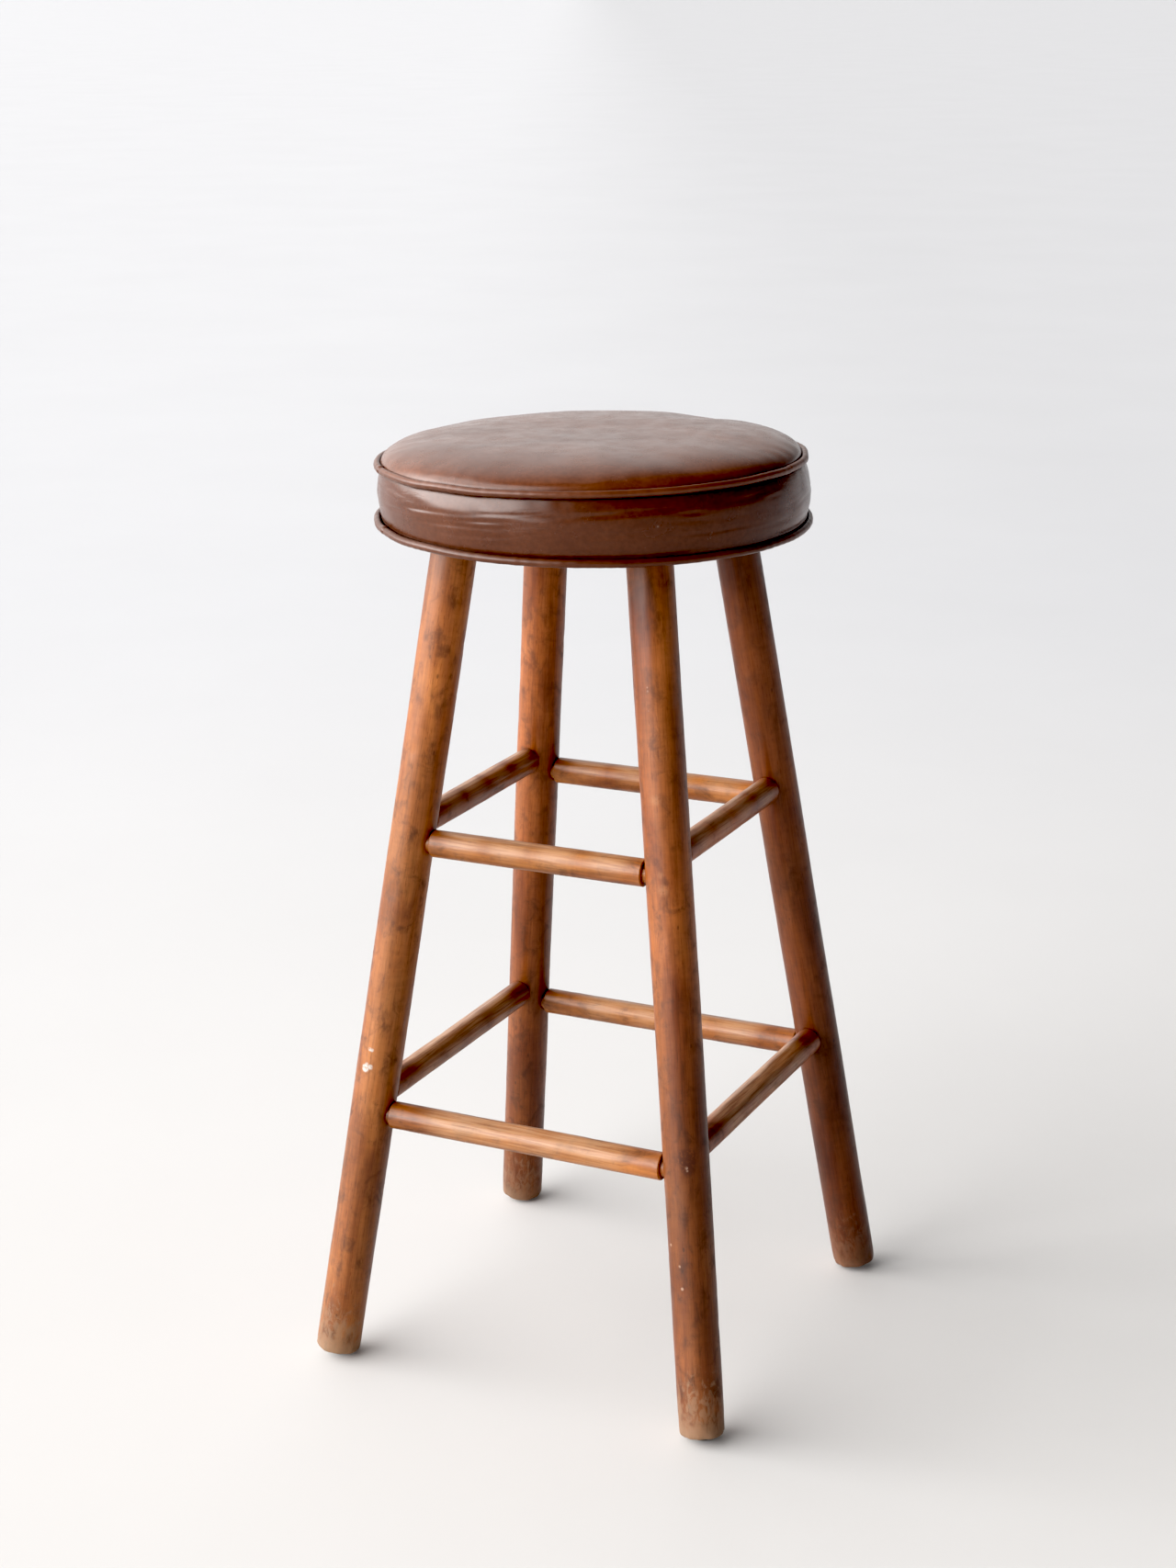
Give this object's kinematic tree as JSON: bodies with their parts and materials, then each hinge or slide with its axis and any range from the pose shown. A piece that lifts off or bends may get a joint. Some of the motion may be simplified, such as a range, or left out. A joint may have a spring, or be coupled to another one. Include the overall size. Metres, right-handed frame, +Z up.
{
  "type": "round-seated bar stool",
  "caption": "Tall fixed stool with a round, welted brown vinyl cushion on splayed round wooden legs joined by two tiers of round wooden stretchers.",
  "frame": {"origin": "on the floor under the middle of the seat, at the bottom centre of the bounding box", "axes": "+Z up towards the cushion's crown, -Y towards the front stretchers, +X to the right seen from the front"},
  "size_m": [0.373, 0.373, 0.768],
  "materials": {
    "leg_wood": "satin walnut-brown stain, scuffed and worn lighter at the feet",
    "stretcher_wood": "satin brown stain, worn pale along the top",
    "board_wood": "bare plywood",
    "foam": "open-cell upholstery foam",
    "wadding": "felted cotton wadding",
    "seat_vinyl": "satin brown upholstery vinyl with a fine leather grain",
    "welt_vinyl": "satin brown upholstery vinyl with a fine leather grain",
    "welt_cord": "twisted cotton piping cord",
    "staple_steel": "plain galvanised",
    "glide_steel": "dulled and dirty from the floor"
  },
  "bodies": {
    "root": {"leg_front_left": "leg_wood", "leg_front_right": "leg_wood", "leg_back_left": "leg_wood", "leg_back_right": "leg_wood", "upper_front_stretcher": "stretcher_wood", "upper_back_stretcher": "stretcher_wood", "upper_left_stretcher": "stretcher_wood", "upper_right_stretcher": "stretcher_wood", "lower_front_stretcher": "stretcher_wood", "lower_back_stretcher": "stretcher_wood", "lower_left_stretcher": "stretcher_wood", "lower_right_stretcher": "stretcher_wood", "seat_board": "board_wood", "foam_pad": "foam", "crown_wadding": "wadding", "top_panel": "seat_vinyl", "side_band": "seat_vinyl", "top_welt_cover": "welt_vinyl", "top_welt_cord": "welt_cord", "bottom_welt_cover": "welt_vinyl", "bottom_welt_cord": "welt_cord", "hem_staples": "staple_steel", "glide_front_left": "glide_steel", "glide_front_right": "glide_steel", "glide_back_left": "glide_steel", "glide_back_right": "glide_steel"}
  },
  "joints": []
}
